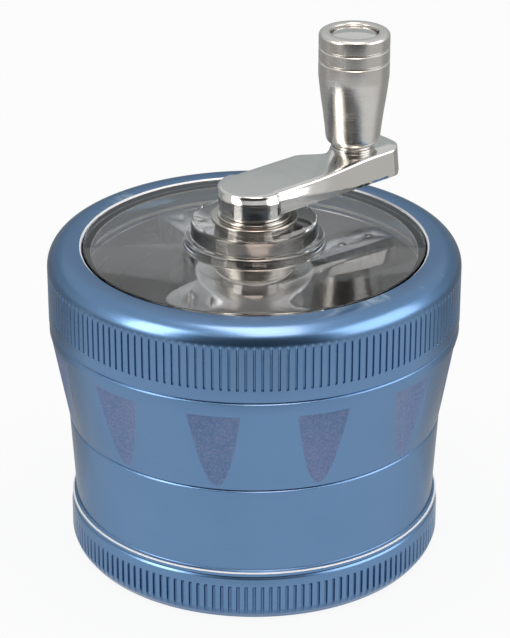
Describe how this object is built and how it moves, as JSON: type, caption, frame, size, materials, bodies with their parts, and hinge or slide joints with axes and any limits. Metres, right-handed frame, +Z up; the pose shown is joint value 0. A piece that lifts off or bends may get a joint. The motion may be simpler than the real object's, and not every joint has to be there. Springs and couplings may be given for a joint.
{
  "type": "hand-crank herb grinder",
  "caption": "Round stacked herb grinder with knurled rings, finger scoops, a clear window lid, and a crank with a spinning knob that drives a toothed rotor.",
  "frame": {"origin": "centre of the resting face, under the middle of the base cup", "axes": "+Z up along the axis of the stacked sections and the crank; the front faces -Y, and the crank points back and to the right (+X, +Y)"},
  "size_m": [0.0636, 0.0636, 0.0792],
  "materials": {
    "blue_anodised_aluminium": "satin blue anodised, turned, with frosted finger scoops",
    "bare_aluminium": "machined, uncoated",
    "clear_acrylic": "clear, polished",
    "stainless_mesh": "fine plain weave",
    "stainless_steel": "turned and brushed",
    "polished_nickel": "cast, polished and plated",
    "magnet_nickel": "nickel plated magnet",
    "black_rubber": "matt",
    "white_nylon": "smooth, slightly waxy"
  },
  "bodies": {
    "base": {"base_cup": "blue_anodised_aluminium"},
    "storage": {"storage_ring": "blue_anodised_aluminium", "screen_gasket": "black_rubber", "screen_mesh": "stainless_mesh", "screen_ring": "bare_aluminium"},
    "chamber": {"grinding_chamber": "blue_anodised_aluminium", "chamber_teeth": "bare_aluminium", "chamber_magnet": "magnet_nickel"},
    "slip_ring": {"slip_ring": "white_nylon"},
    "lid": {"lid_ring": "blue_anodised_aluminium", "window_seal": "black_rubber", "window": "clear_acrylic", "shaft_bushing": "stainless_steel", "upper_washer": "stainless_steel", "lower_washer": "white_nylon"},
    "crank": {"crank_arm": "polished_nickel", "drive_shaft": "stainless_steel", "rotor": "bare_aluminium", "rotor_teeth": "stainless_steel", "rotor_screw": "stainless_steel", "rotor_magnet": "magnet_nickel", "knob_washer": "stainless_steel", "knob_pin": "polished_nickel"},
    "knob": {"knob_grip": "stainless_steel"}
  },
  "joints": [
    {"name": "storage_lift", "type": "slide", "parent": "base", "child": "storage", "axis": [0, 0, 1], "range_m": [0, 0.02]},
    {"name": "chamber_lift", "type": "slide", "parent": "storage", "child": "chamber", "axis": [0, 0, 1], "range_m": [0, 0.02]},
    {"name": "lid_lift", "type": "slide", "parent": "chamber", "child": "slip_ring", "axis": [0, 0, 1], "range_m": [0, 0.03]},
    {"name": "lid_turn", "type": "hinge", "parent": "slip_ring", "child": "lid", "pos_m": [0, 0, 0.0424], "axis": [0, 0, 1], "continuous": true},
    {"name": "crank_spin", "type": "hinge", "parent": "lid", "child": "crank", "pos_m": [0, 0, 0.05], "axis": [0, 0, 1], "continuous": true},
    {"name": "knob_spin", "type": "hinge", "parent": "crank", "child": "knob", "pos_m": [0.01532, 0.01332, 0.07], "axis": [0, 0, 1], "continuous": true}
  ]
}
